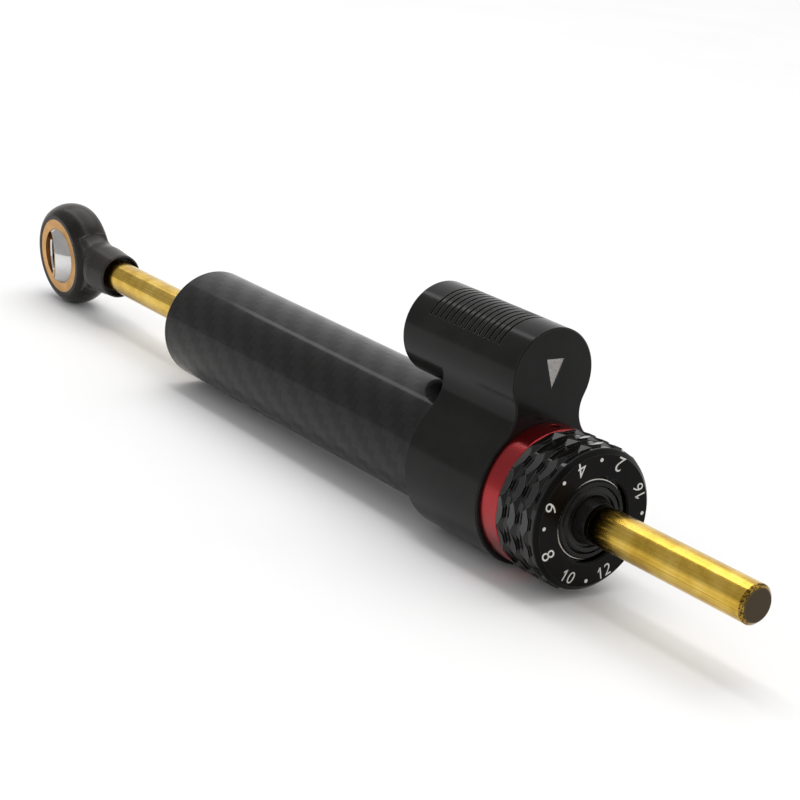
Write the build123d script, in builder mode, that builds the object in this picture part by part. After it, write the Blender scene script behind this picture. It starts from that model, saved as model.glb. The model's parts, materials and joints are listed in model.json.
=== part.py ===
"""Steering damper with a knurled click adjuster round its rod and a reservoir on its back.

Millimetres. X runs along the rod towards the adjuster, Z up through the reservoir. The origin lies
on the rod's axis in the middle of the bare tube, where the clamp to the frame grips.
An angle round the X axis is counted from the top towards -Y, as the dial's numbers run.
"""
from build123d import *
from math import atan2, cos, pi, radians, sin, sqrt
import os

# Driving dimensions

# Fits
running_clearance = 0.03
seat_clearance = 0.02
face_gap = 0.1
overrun = 1.0

# Rod
tube_to_rod_ratio = 3.3
rod_reach = 44.65
rod_tip_chamfer = 0.7
rod_tail_share = 0.85
rod_tail_length = 12.0
clip_groove_depth = 0.5
clip_width = 0.8
clip_section = 1.3

# Damper tube with its carbon sleeve
tube_radius = 13.2
sleeve_wall = 1.0
tube_wall = 1.7
bypass_depth = 0.5
bypass_land = 6.0
bypass_port_radius = 0.7
bypass_port_count = 4
clamp_to_front = 80.0
tube_and_cap_length = 126.3

# Front housing
housing_wall = 2.3
housing_length = 24.0
housing_edge = 0.3
tube_socket_depth = 14.0
nose_length = 16.7
nose_wall_share = 0.25
valve_port_radius = 0.6

# Reservoir on top
reservoir_gap = 0.77
reservoir_radius = 9.93
reservoir_wall = 3.0
reservoir_overhang = 12.8
reservoir_front_wall = 6.0
waist_radius = 7.0
groove_count = 15
groove_pitch = 1.6
groove_width = 0.55
groove_depth = 0.4
groove_half_angle = 59.4
first_groove_back = 7.6
triangle_half_width = 2.23
triangle_height = 6.2
triangle_rise = 3.6
triangle_depth = 0.2

# Reservoir's inner pieces
plug_length = 4.5
plug_setback = 1.6
plug_clip_width = 0.9
plug_clip_section = 1.4
plug_clip_bite = 0.5
fill_screw_radius = 2.0
fill_head_radius = 3.2
fill_head_height = 1.2
fill_socket_radius = 1.1
fill_socket_depth = 2.0
floating_length = 6.0
floating_back = 20.0
floating_dish_depth = 2.0

# Guide bushes, rod seals and wipers
bush_share = 0.3
seal_share = 0.75
seal_length = 3.5
seal_notch = 1.6
wiper_length = 3.0
wiper_recess = 0.3
wiper_lip_height = 0.7
scraper_rise = 0.5
scraper_step_share = 0.2
scraper_foot_share = 0.48
scraper_lip_share = 0.05
scraper_reach = 2.7
bush_setback = 0.4

# O-rings
ring_section = 1.0
small_ring_section = 0.7

# Piston
piston_length = 12.0
piston_clearance = 0.1
band_depth = 0.9
band_width = 6.0
bleed_radius = 0.8
bleed_count = 6
piston_end_gap = 2.5

# Rear end cap
cap_flange = 1.5
cap_round = 1.0
cap_spigot = 10.8
cap_clip_setback = 0.4
pin_hole_radius = 1.0
pin_hole_depth = 1.0

# Red detent ring, its screws, balls and stop pin
ring_step = 0.94
ring_thickness = 5.1
ring_edge = 0.2
ring_screw_radius = 1.0
ring_screw_head = 1.9
ring_screw_length = 8.0
ring_screw_socket = 0.6
ring_screw_count = 3
ring_screw_angle = 30.0
ball_radius = 1.0
ball_angles = (67.5, 247.5)
dimple_depth = 0.25
track_depth = 0.3
spring_wire = 0.2
spring_turns = 5
stop_pin_radius = 0.6
stop_pin_angle = 90.0
stop_pin_bite = 1.2
stop_slot_depth = 1.5
lock_screw_radius = 1.0
lock_screw_setback = 0.9
lock_screw_socket = 0.45
lock_screw_backoff = 0.4

# Adjuster knob
knob_length = 11.95
knob_step = 1.2
knob_rim_step = 1.05
knob_bevel = 1.0
knob_core_depth = 0.6
knob_recess_gap = 0.7
knob_recess_edge = 0.3
pad_row_count = 3
pad_row_pitch = 3.9
pad_band = 1.1
pad_rise = 0.6
pad_front_share = 0.32
pad_rear_share = 0.6
pocket_front_share = 1.003
pocket_rear_share = 0.998
knob_rim_width = 2.05
setting_count = 16
rest_setting = 3

# Throttle cam and metering needle
cam_pocket_depth = 7.0
cam_length = 5.2
cam_base_wall = 0.85
cam_lift = 1.15
cam_sleeve_share = 0.4
cam_top_gap = 0.4
cam_end_angle = 8.0
cam_engagement = 2.75
dog_width = 2.4
dog_height = 1.6
needle_foot_radius = 0.8
needle_collar_radius = 1.9
needle_collar_length = 1.6
needle_collar_rise = 0.35
needle_stem_radius = 0.62
needle_stem_length = 1.25
needle_tip_radius = 0.2
needle_tip_length = 2.3
valve_seat_radius = 0.72
valve_seat_length = 0.6
valve_gallery_radius = 0.9
valve_gallery_length = 2.9
needle_spring_length = 2.0
needle_spring_wire = 0.12
needle_spring_turns = 3

# External ring that keeps the knob on the nose
snap_wire = 0.4
snap_bite = 0.35
snap_land = 0.5
snap_gap_angle = 26.0
snap_gap_middle_angle = 58.0

# Rod end
collar_gap = 45.3
eye_reach = 25.7
eye_radius = 13.4
eye_face_radius = 10.8
eye_half_width = 5.0
eye_shoulder_radius = 12.3
eye_shoulder_half_width = 3.8
eye_side_inset = 1.2
liner_radius = 9.8
liner_step = 0.1
shank_radius = 6.2
shank_mouth_radius = 5.6
shank_mouth_round = 0.3
shank_mouth_gap = 1.15
shank_mouth_depth = 2.6
shank_cone_length = 7.4
shank_blend = 4.5
shank_hole_depth = 13.4
eye_roll_angle = -7.0
ball_joint_radius = 8.8
ball_joint_half_width = 6.0
ball_joint_bore_radius = 4.0
ball_joint_edge = 0.4
ball_joint_tilt_angle = 20.0

# Worked out stations along X
front_x = clamp_to_front
housing_rear_x = front_x - housing_length
reservoir_rear_x = housing_rear_x - reservoir_overhang
rear_x = front_x - tube_and_cap_length
cap_face_x = rear_x + cap_flange
tube_front_x = housing_rear_x + tube_socket_depth
chamber_rear_x = cap_face_x + cap_spigot
chamber_front_x = tube_front_x
piston_x = (chamber_rear_x + chamber_front_x) / 2
nose_end_x = front_x + nose_length
ring_front_x = front_x + ring_thickness
knob_rear_x = ring_front_x + face_gap
knob_front_x = knob_rear_x + knob_length
rod_tip_x = knob_front_x + rod_reach
collar_x = rear_x - collar_gap
eye_x = collar_x - eye_reach

# Worked out radii, from the rod outwards
sleeve_bore = tube_radius - sleeve_wall
tube_bore = sleeve_bore - tube_wall
housing_radius = tube_radius + housing_wall
rod_radius = tube_radius / tube_to_rod_ratio
rod_tail_radius = rod_tail_share * rod_radius
bush_wall = bush_share * rod_radius
bush_radius = rod_radius + bush_wall
seal_radius = rod_radius + seal_share * rod_radius
nose_radius = seal_radius + nose_wall_share * rod_radius
knob_recess_radius = nose_radius + knob_recess_gap
reservoir_height = tube_radius + reservoir_gap + reservoir_radius
reservoir_bore = reservoir_radius - reservoir_wall
ring_radius = housing_radius - ring_step
knob_radius = housing_radius - knob_step
cam_bore = nose_radius + running_clearance
cam_sleeve_radius = nose_radius + cam_sleeve_share * rod_radius
cam_low_radius = nose_radius + cam_base_wall
cam_pocket_radius = cam_low_radius + cam_lift + cam_top_gap
ring_bore = cam_sleeve_radius + face_gap
full_turn = 360.0
quarter_turn = full_turn / 4
click_angle = full_turn / setting_count
lowest_angle = (1 - rest_setting) * click_angle
turning_range = (setting_count - 1) * click_angle


def turned(outline, axis_height=0, mode=Mode.ADD):
    """Revolve a closed outline of (x, radius) points about a line along X."""
    with BuildSketch(Plane.XZ) as profile:
        with BuildLine():
            Polyline(*[(x, axis_height + r) for x, r in outline], close=True)
        make_face()
    revolve(profile.sketch, axis=Axis((0, 0, axis_height), (1, 0, 0)), mode=mode)


def tube(x_start, x_end, inner, outer, axis_height=0, mode=Mode.ADD):
    """A plain turned ring, or a rod where the inner radius is zero."""
    corners = [(x_start, inner), (x_end, inner), (x_end, outer), (x_start, outer)]
    turned(corners, axis_height, mode)


def groove_floor(bore, section=ring_section):
    """The radius of the floor of an O-ring groove in a shaft that fills this bore."""
    return bore - section - 2 * seat_clearance


def o_ring(x, bore, section=ring_section, axis_height=0):
    """An O-ring seated between its groove's floor and the bore round it."""
    with BuildSketch(Plane.XZ) as profile:
        with Locations((x, axis_height + bore - seat_clearance - section / 2)):
            Circle(section / 2)
    revolve(profile.sketch, axis=Axis((0, 0, axis_height), (1, 0, 0)))


def ring_groove(x, bore, section=ring_section, axis_height=0):
    """Cut the groove that holds such an O-ring."""
    half_width = section / 2 + 2 * seat_clearance
    floor = groove_floor(bore, section)
    tube(x - half_width, x + half_width, floor, bore + overrun, axis_height, Mode.SUBTRACT)


def split_ring(x_start, x_end, inner, outer, gap_angle, gap_middle, axis_height=0):
    """A flat retaining ring with a gap."""
    start = quarter_turn + gap_middle + gap_angle / 2
    with BuildSketch(Plane.YZ.offset(x_start)) as profile:
        with Locations((0, axis_height)):
            with BuildLine():
                near = CenterArc((0, 0), inner, start, full_turn - gap_angle)
                far = CenterArc((0, 0), outer, start, full_turn - gap_angle)
                Line(near @ 0, far @ 0)
                Line(near @ 1, far @ 1)
            make_face()
    extrude(profile.sketch.moved(Location((0, 0, axis_height))), amount=x_end - x_start)


def dial_point(angle, radius):
    """The (y, z) point at an angle from the top towards -Y."""
    return (-radius * sin(radians(angle)), radius * cos(radians(angle)))


def upright(outline, x, mode=Mode.ADD):
    """Revolve a closed outline of (radius, z) points about an upright line at x."""
    with BuildSketch(Plane.XZ) as profile:
        with BuildLine():
            Polyline(*[(x + r, z) for r, z in outline], close=True)
        make_face()
    revolve(profile.sketch, axis=Axis((x, 0, 0), (0, 0, 1)), mode=mode)


def coil(start, direction, length, radius, wire, turns):
    """One compression spring along a direction, as an unbroken wire."""
    with BuildPart() as spring:
        with BuildLine() as path:
            Helix(
                pitch=(length - 2 * wire - 2 * seat_clearance) / turns,
                height=length - 2 * wire - 2 * seat_clearance,
                radius=radius,
                center=Vector(*start) + Vector(*direction) * (wire + seat_clearance),
                direction=direction,
            )
        with BuildSketch(Plane(origin=path.line @ 0, z_dir=path.line % 0)):
            Circle(wire)
        sweep()
    return spring.part


# Damper tube: the pressure tube, turned down between its end lands for the bypass
with BuildPart() as damper_tube:
    tube(cap_face_x, tube_front_x, tube_bore, sleeve_bore)
    bypass_radius = sleeve_bore - bypass_depth
    bypass_rear_x = chamber_rear_x - bypass_port_radius
    bypass_front_x = tube_front_x - bypass_land
    port_x = chamber_rear_x + 2 * bypass_port_radius
    tube(bypass_rear_x, bypass_front_x, bypass_radius, sleeve_bore + overrun, mode=Mode.SUBTRACT)
    tube_ring_x = tube_front_x - bypass_land / 2
    ring_groove(tube_ring_x, sleeve_bore + seat_clearance)
    for port in range(bypass_port_count):
        port_plane = Plane((port_x, 0, 0), x_dir=(1, 0, 0), z_dir=(0, *dial_point(
            port * full_turn / bypass_port_count, 1)))
        with BuildSketch(port_plane.offset(tube_bore - overrun)):
            Circle(bypass_port_radius)
        extrude(amount=tube_wall + overrun, mode=Mode.SUBTRACT)

with BuildPart() as tube_o_ring:
    o_ring(tube_ring_x, sleeve_bore + seat_clearance)

with BuildPart() as carbon_sleeve:
    tube(cap_face_x, housing_rear_x, sleeve_bore, tube_radius)

# Rear end cap: spigot inside the tube, rounded flange over its end, seal pocket in its face
cap_clip_x = rear_x + cap_clip_setback
rear_wiper_x = cap_clip_x + clip_width + 2 * seat_clearance
rear_seal_x = rear_wiper_x + wiper_length
rear_bush_x = rear_seal_x + seal_length + bush_setback
cap_ring_x = chamber_rear_x - cap_spigot / 2
cap_spigot_radius = tube_bore - seat_clearance
with BuildPart() as rear_end_cap:
    tube(cap_face_x - cap_flange / 2, chamber_rear_x, 0, cap_spigot_radius)
    tube(rear_x, cap_face_x, 0, tube_radius)
    rear_rim = edges().filter_by(GeomType.CIRCLE).group_by(Axis.X)[0]
    fillet(rear_rim, cap_round)
    tube(rear_x - overrun, rear_seal_x + seal_length, 0, seal_radius, mode=Mode.SUBTRACT)
    tube(rear_x, chamber_rear_x + overrun, 0, bush_radius, mode=Mode.SUBTRACT)
    clip_seat_radius = seal_radius + clip_groove_depth
    tube(cap_clip_x, rear_wiper_x, 0, clip_seat_radius, mode=Mode.SUBTRACT)
    ring_groove(cap_ring_x, tube_bore)
    with BuildSketch(Plane.YZ.offset(rear_x)):
        with PolarLocations((seal_radius + tube_radius) / 2, 2):
            Circle(pin_hole_radius)
    extrude(amount=pin_hole_depth, mode=Mode.SUBTRACT)

with BuildPart() as cap_o_ring:
    o_ring(cap_ring_x, tube_bore)


def guide_bush(x_start, x_end):
    """A plain split-free bush with a small lead-in at both ends of its bore."""
    lead = bush_wall / 3
    bore = rod_radius + running_clearance
    outer = bush_radius - seat_clearance
    turned([
        (x_start, bore + lead), (x_start + lead, bore), (x_end - lead, bore), (x_end, bore + lead),
        (x_end, outer), (x_start, outer),
    ])


def rod_seal(x_open, x_back):
    """A U-cup seal whose lips open towards the oil."""
    way = 1 if x_back > x_open else -1
    bore = rod_radius + running_clearance
    outer = seal_radius - seat_clearance
    middle = (bore + outer) / 2
    lip = seal_notch / 2
    turned([
        (x_open, bore), (x_open, middle - lip), (x_open + way * seal_notch, middle),
        (x_open, middle + lip), (x_open, outer), (x_back, outer), (x_back, bore),
    ])


def rod_wiper(x_inner, x_outer):
    """A wiper with a raised lip round a hollow, leaning on the rod."""
    way = 1 if x_outer > x_inner else -1
    bore = rod_radius + running_clearance
    outer = seal_radius - seat_clearance
    ring = outer - bore
    x_floor = x_outer - way * wiper_lip_height
    turned([
        (x_inner, bore + ring / 4), (x_inner, outer), (x_floor, outer), (x_floor, outer - ring / 6),
        (x_outer, outer - ring / 3), (x_floor, outer - ring / 2), (x_floor, bore + ring / 4),
        (x_outer, bore), (x_floor - way * wiper_lip_height, bore),
    ])


with BuildPart() as rear_guide_bush:
    guide_bush(rear_bush_x, chamber_rear_x)

with BuildPart() as rear_rod_seal:
    rod_seal(rear_seal_x + seal_length, rear_seal_x)

with BuildPart() as rear_wiper:
    rod_wiper(rear_seal_x, rear_wiper_x)

with BuildPart() as rear_circlip:
    split_ring(
        cap_clip_x + seat_clearance, cap_clip_x + seat_clearance + clip_width,
        seal_radius - clip_section, clip_seat_radius - seat_clearance, snap_gap_angle, full_turn / 2,
    )

# Front housing: one billet with the tube socket, the reservoir's bore and the nose
wiper_front_x = nose_end_x - wiper_recess
seal_front_x = wiper_front_x - wiper_length
seal_floor_x = seal_front_x - seal_length
cam_pocket_x = front_x - cam_pocket_depth
snap_front_x = nose_end_x - snap_land
snap_rear_x = snap_front_x - 2 * (snap_wire + seat_clearance)
snap_floor = nose_radius - snap_bite - seat_clearance

# The waist between the two round lobes is an arc tangent to both
lower_reach = housing_radius + waist_radius
upper_reach = reservoir_radius + waist_radius
waist_z = (reservoir_height**2 + lower_reach**2 - upper_reach**2) / (2 * reservoir_height)
waist_y = sqrt(lower_reach**2 - waist_z**2)
lower_touch = (waist_y * housing_radius / lower_reach, waist_z * housing_radius / lower_reach)
upper_touch = (
    waist_y * reservoir_radius / upper_reach,
    reservoir_height + (waist_z - reservoir_height) * reservoir_radius / upper_reach,
)
waist_middle = (waist_y - waist_radius, waist_z)

# Needle valve stations, from the cam upwards
needle_x = cam_pocket_x + cam_length / 2 + face_gap
cam_slope = cam_lift / radians(turning_range)
cam_rest_radius = cam_low_radius - cam_slope * radians(lowest_angle)
foot_z = cam_rest_radius + seat_clearance
collar_z = cam_pocket_radius + needle_collar_rise
collar_top_z = collar_z + needle_collar_length
seat_z = collar_top_z + needle_spring_length
gallery_z = seat_z + valve_seat_length
gallery_top_z = gallery_z + valve_gallery_length
needle_bore = needle_collar_radius + running_clearance
bypass_feed_z = gallery_z + valve_port_radius
bypass_feed_x = bypass_front_x - 2 * valve_port_radius
fill_port_x = front_x - reservoir_front_wall - 2 * valve_port_radius

groove_places = [front_x - first_groove_back - i * groove_pitch for i in range(groove_count)]

with BuildPart() as front_housing:
    # Body: figure of eight, with the reservoir's barrel running on behind it
    with BuildSketch(Plane.YZ.offset(housing_rear_x)):
        with BuildLine():
            right_foot = Vector(*lower_touch)
            right_head = Vector(*upper_touch)
            left_foot = Vector(-lower_touch[0], lower_touch[1])
            left_head = Vector(-upper_touch[0], upper_touch[1])
            ThreePointArc(right_foot, (0, -housing_radius), left_foot)
            ThreePointArc(left_foot, (-waist_middle[0], waist_middle[1]), left_head)
            ThreePointArc(left_head, (0, reservoir_height + reservoir_radius), right_head)
            ThreePointArc(right_head, waist_middle, right_foot)
        make_face()
    extrude(amount=housing_length)
    chamfer(edges().group_by(Axis.X)[0] + edges().group_by(Axis.X)[-1], housing_edge)
    tube(reservoir_rear_x, housing_rear_x + 2 * housing_edge, 0, reservoir_radius, reservoir_height)
    chamfer(edges().group_by(Axis.X)[0], housing_edge)

    # Nose that carries the knob, with the groove for its ring
    tube(front_x - overrun, nose_end_x, 0, nose_radius)
    chamfer(edges().group_by(Axis.X)[-1], housing_edge)
    tube(snap_rear_x, snap_front_x, snap_floor, nose_radius + overrun, mode=Mode.SUBTRACT)

    # Socket for the tube, then the rod's bores
    tube(housing_rear_x - overrun, tube_front_x, 0, sleeve_bore + seat_clearance, mode=Mode.SUBTRACT)
    tube(housing_rear_x, nose_end_x, 0, bush_radius, mode=Mode.SUBTRACT)
    tube(seal_floor_x, nose_end_x + overrun, 0, seal_radius, mode=Mode.SUBTRACT)

    # Pocket for the throttle cam round the nose
    tube(cam_pocket_x, front_x + overrun, nose_radius, cam_pocket_radius, mode=Mode.SUBTRACT)

    # Reservoir's bore, its clip groove and the comb of grooves on its back
    reservoir_end_x = front_x - reservoir_front_wall
    tube(reservoir_rear_x - overrun, reservoir_end_x, 0, reservoir_bore, reservoir_height, Mode.SUBTRACT)
    plug_clip_x = reservoir_rear_x + plug_setback - plug_clip_width
    tube(
        plug_clip_x, plug_clip_x + plug_clip_width, 0, reservoir_bore + plug_clip_bite,
        reservoir_height, Mode.SUBTRACT,
    )
    with BuildSketch(*[Plane.YZ.offset(x - groove_width / 2) for x in groove_places]):
        with BuildLine():
            floor_arc = CenterArc(
                (0, reservoir_height), reservoir_radius - groove_depth,
                quarter_turn - groove_half_angle, 2 * groove_half_angle,
            )
            open_arc = CenterArc(
                (0, reservoir_height), reservoir_radius + overrun,
                quarter_turn - groove_half_angle, 2 * groove_half_angle,
            )
            Line(floor_arc @ 0, open_arc @ 0)
            Line(floor_arc @ 1, open_arc @ 1)
        make_face()
    extrude(amount=groove_width, mode=Mode.SUBTRACT)

    # Engraved index over the dial
    with BuildSketch(Plane.YZ.offset(front_x - triangle_depth)):
        with BuildLine():
            index_top = reservoir_height + triangle_rise
            Polyline(
                (-triangle_half_width, index_top), (triangle_half_width, index_top),
                (0, index_top - triangle_height), close=True,
            )
        make_face()
    extrude(amount=triangle_depth + overrun, mode=Mode.SUBTRACT)

    # Needle valve: collar bore, seat and gallery
    upright([
        (0, cam_low_radius), (needle_bore, cam_low_radius), (needle_bore, seat_z),
        (valve_seat_radius, seat_z), (valve_seat_radius, gallery_z), (valve_gallery_radius, gallery_z),
        (valve_gallery_radius, gallery_top_z), (0, gallery_top_z),
    ], needle_x, Mode.SUBTRACT)

    # Drillings: chamber to needle, gallery to bypass, gallery to reservoir
    chamber_hole = Vector(chamber_front_x - valve_port_radius, 0, tube_bore - 2 * valve_port_radius)
    needle_hole = Vector(needle_x, 0, seat_z - valve_port_radius)
    with BuildSketch(Plane(chamber_hole, z_dir=needle_hole - chamber_hole)):
        Circle(valve_port_radius)
    extrude(amount=(needle_hole - chamber_hole).length, mode=Mode.SUBTRACT)
    tube(bypass_feed_x, needle_x, 0, valve_port_radius, bypass_feed_z, Mode.SUBTRACT)
    with BuildSketch(Plane.XY.offset(sleeve_bore)):
        with Locations((bypass_feed_x + valve_port_radius, 0)):
            Circle(valve_port_radius)
    extrude(amount=bypass_feed_z - sleeve_bore, mode=Mode.SUBTRACT)
    with BuildSketch(Plane.XY.offset(bypass_feed_z)):
        with Locations((fill_port_x, 0)):
            Circle(valve_port_radius)
    extrude(amount=reservoir_height - bypass_feed_z, mode=Mode.SUBTRACT)

    # Tapped holes for the detent ring's screws
    screw_circle = (ring_bore + ring_radius) / 2
    screw_turn = full_turn / ring_screw_count
    screw_angles = [ring_screw_angle + i * screw_turn for i in range(ring_screw_count)]
    with BuildSketch(Plane.YZ.offset(front_x + ring_thickness - ring_screw_length - face_gap)):
        with Locations(*[dial_point(a, screw_circle) for a in screw_angles]):
            Circle(ring_screw_radius)
    extrude(amount=ring_screw_length, mode=Mode.SUBTRACT)

with BuildPart() as front_guide_bush:
    guide_bush(chamber_front_x, seal_floor_x - bush_setback)

with BuildPart() as front_rod_seal:
    rod_seal(seal_floor_x, seal_front_x)

# The front wiper stands out of the nose in steps, down to its lip on the rod
with BuildPart() as front_wiper:
    scraper_bore = rod_radius + running_clearance
    scraper_radius = seal_radius - seat_clearance
    scraper_ring = scraper_radius - scraper_bore
    scraper_step_x = wiper_front_x + scraper_rise
    scraper_step_radius = scraper_radius - scraper_step_share * scraper_ring
    scraper_foot_radius = scraper_radius - scraper_foot_share * scraper_ring
    turned([
        (seal_front_x, scraper_bore), (seal_front_x, scraper_radius), (wiper_front_x, scraper_radius),
        (scraper_step_x, scraper_step_radius), (scraper_step_x, scraper_foot_radius),
        (wiper_front_x, scraper_foot_radius), (wiper_front_x, scraper_bore + scraper_ring / 3),
        (wiper_front_x + scraper_reach, scraper_bore + scraper_lip_share * scraper_ring),
        (wiper_front_x + scraper_reach, scraper_bore),
    ])

with BuildPart() as knob_snap_ring:
    snap_x = (snap_rear_x + snap_front_x) / 2
    with BuildSketch(Plane.XZ) as wire_end:
        with Locations((snap_x, snap_floor + seat_clearance + snap_wire)):
            Circle(snap_wire)
    revolve(wire_end.sketch, axis=Axis.X, revolution_arc=full_turn - snap_gap_angle)
knob_snap_ring.part = knob_snap_ring.part.rotate(Axis.X, snap_gap_middle_angle + snap_gap_angle / 2)

# Reservoir's plug, filler screw and floating piston
plug_rear_x = reservoir_rear_x + plug_setback
plug_front_x = plug_rear_x + plug_length
plug_ring_x = plug_rear_x + plug_length / 2
plug_radius = reservoir_bore - seat_clearance
fill_floor_x = plug_rear_x + fill_head_height
with BuildPart() as reservoir_end_plug:
    tube(plug_rear_x, plug_front_x, 0, plug_radius, reservoir_height)
    ring_groove(plug_ring_x, reservoir_bore, ring_section, reservoir_height)
    fill_head_seat = fill_head_radius + seat_clearance
    tube(plug_rear_x - overrun, fill_floor_x, 0, fill_head_seat, reservoir_height, Mode.SUBTRACT)
    tube(plug_rear_x, plug_front_x + overrun, 0, fill_screw_radius, reservoir_height, Mode.SUBTRACT)

with BuildPart() as plug_o_ring:
    o_ring(plug_ring_x, reservoir_bore, ring_section, reservoir_height)

with BuildPart() as plug_circlip:
    split_ring(
        plug_clip_x + seat_clearance, plug_clip_x + plug_clip_width - seat_clearance,
        reservoir_bore - plug_clip_section, reservoir_bore + plug_clip_bite - seat_clearance,
        snap_gap_angle, 0, reservoir_height,
    )

with BuildPart() as fill_screw:
    fill_shank = fill_screw_radius - seat_clearance
    tube(plug_rear_x, fill_floor_x, 0, fill_head_radius, reservoir_height)
    tube(plug_rear_x, plug_front_x, 0, fill_shank, reservoir_height)
    with BuildSketch(Plane.YZ.offset(plug_rear_x)):
        with Locations((0, reservoir_height)):
            RegularPolygon(fill_socket_radius, 6)
    extrude(amount=fill_socket_depth, mode=Mode.SUBTRACT)

floating_x = front_x - floating_back
floating_radius = reservoir_bore - running_clearance
with BuildPart() as floating_piston:
    floating_rear_x = floating_x - floating_length / 2
    floating_front_x = floating_x + floating_length / 2
    tube(floating_rear_x, floating_front_x, 0, floating_radius, reservoir_height)
    chamfer(edges().filter_by(GeomType.CIRCLE), housing_edge)
    dish_rim = floating_radius - floating_dish_depth
    tube(
        floating_rear_x - overrun, floating_rear_x + floating_dish_depth, 0, dish_rim,
        reservoir_height, Mode.SUBTRACT,
    )
    ring_groove(floating_x + floating_length / 6, reservoir_bore, ring_section, reservoir_height)

with BuildPart() as floating_o_ring:
    o_ring(floating_x + floating_length / 6, reservoir_bore, ring_section, reservoir_height)

# Detent ring: carries the click balls in blind holes and stops the knob with a pin
ball_circle = (ring_bore + stop_pin_radius * 2 + ring_radius) / 2 + stop_pin_radius / 2
stop_circle = ring_bore + 2 * stop_pin_radius
ball_x = ring_front_x + face_gap + track_depth - running_clearance - ball_radius
ball_hole_radius = ball_radius + running_clearance
spring_length = ball_x - ball_radius - front_x
with BuildPart() as detent_ring:
    tube(front_x, ring_front_x, ring_bore, ring_radius)
    outer_rims = edges().filter_by(GeomType.CIRCLE).sort_by(SortBy.RADIUS)[-2:]
    chamfer(outer_rims, ring_edge)
    with BuildSketch(Plane.YZ.offset(front_x)):
        with Locations(*[dial_point(a, ball_circle) for a in ball_angles]):
            Circle(ball_hole_radius)
        with Locations(*[dial_point(a, screw_circle) for a in screw_angles]):
            Circle(ring_screw_radius + face_gap)
    extrude(amount=ring_thickness, mode=Mode.SUBTRACT)
    for screw_angle in screw_angles:
        y, z = dial_point(screw_angle, screw_circle)
        with BuildSketch(Plane.YZ.offset(ring_front_x)):
            with Locations((y, z)):
                Circle(ring_screw_head + seat_clearance)
        extrude(amount=-(ring_screw_head - ring_screw_radius), taper=45, mode=Mode.SUBTRACT)
    with BuildSketch(Plane.YZ.offset(ring_front_x - ring_thickness / 2)):
        with Locations(dial_point(stop_pin_angle, stop_circle)):
            Circle(stop_pin_radius)
    extrude(amount=ring_thickness, mode=Mode.SUBTRACT)
    lock_x = front_x + ring_thickness / 2
    with BuildSketch(Plane.XY.offset(ring_bore - overrun)):
        with Locations((lock_x, 0)):
            Circle(lock_screw_radius)
    extrude(amount=ring_radius - ring_bore + 2 * overrun, mode=Mode.SUBTRACT)

# Lock screw in the ring's top, backed off from the cam's sleeve
with BuildPart() as setting_lock_screw:
    lock_foot_z = cam_sleeve_radius + lock_screw_backoff
    lock_head_z = ring_radius - lock_screw_setback
    with BuildSketch(Plane.XY.offset(lock_foot_z)):
        with Locations((lock_x, 0)):
            Circle(lock_screw_radius - seat_clearance)
    extrude(amount=lock_head_z - lock_foot_z)
    with BuildSketch(Plane.XY.offset(lock_head_z)):
        with Locations((lock_x, 0)):
            RegularPolygon(lock_screw_socket, 6)
    extrude(amount=-2 * lock_screw_socket, mode=Mode.SUBTRACT)

with BuildPart() as ring_screws:
    for screw_angle in screw_angles:
        y, z = dial_point(screw_angle, screw_circle)
        with BuildSketch(Plane.YZ.offset(ring_front_x - ring_screw_length)):
            with Locations((y, z)):
                Circle(ring_screw_radius - seat_clearance)
        extrude(amount=ring_screw_length)
        with BuildSketch(Plane.YZ.offset(ring_front_x - face_gap / 2)):
            with Locations((y, z)):
                Circle(ring_screw_head - face_gap)
        extrude(amount=-(ring_screw_head - ring_screw_radius), taper=45)
        with BuildSketch(Plane.YZ.offset(ring_front_x)):
            with Locations((y, z)):
                RegularPolygon(ring_screw_socket, 6)
        extrude(amount=-2 * ring_screw_socket, mode=Mode.SUBTRACT)

with BuildPart() as detent_balls:
    for ball_angle in ball_angles:
        y, z = dial_point(ball_angle, ball_circle)
        with Locations((ball_x, y, z)):
            Sphere(ball_radius)

with BuildPart() as detent_springs:
    for ball_angle in ball_angles:
        y, z = dial_point(ball_angle, ball_circle)
        spring_radius = ball_radius - 2 * spring_wire
        add(coil((front_x, y, z), (1, 0, 0), spring_length, spring_radius, spring_wire, spring_turns))

with BuildPart() as knob_stop_pin:
    with BuildSketch(Plane.YZ.offset(ring_front_x - ring_thickness / 2 + seat_clearance)):
        with Locations(dial_point(stop_pin_angle, stop_circle)):
            Circle(stop_pin_radius - seat_clearance)
    extrude(amount=ring_thickness / 2 + stop_pin_bite)

# Throttle cam: a sleeve turned by the knob, with a spiral that lifts the needle
cam_rear_x = cam_pocket_x + face_gap
cam_front_x = knob_rear_x + cam_engagement


def cam_point(angle):
    """The spiral's (y, z) point at an angle from the top at the rest setting."""
    return dial_point(angle, cam_rest_radius + cam_slope * radians(angle))


with BuildPart() as throttle_cam:
    spiral_start = lowest_angle - cam_end_angle
    spiral_turn = turning_range + 2 * cam_end_angle
    spiral_steps = 2 * setting_count
    with BuildSketch(Plane.YZ.offset(cam_rear_x)):
        with BuildLine():
            spiral = Spline(*[
                cam_point(spiral_start + spiral_turn * i / spiral_steps) for i in range(spiral_steps + 1)
            ])
            Line(spiral @ 1, spiral @ 0)
        make_face()
    extrude(amount=cam_length)
    tube(cam_rear_x + cam_length - face_gap, cam_front_x, 0, cam_sleeve_radius)
    tube(cam_rear_x - overrun, cam_front_x + overrun, 0, cam_bore, mode=Mode.SUBTRACT)
    with BuildSketch(Plane.YZ.offset(cam_front_x - dog_height)):
        Rectangle(2 * cam_sleeve_radius + overrun, dog_width)
    extrude(amount=dog_height + overrun, mode=Mode.SUBTRACT)

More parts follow.
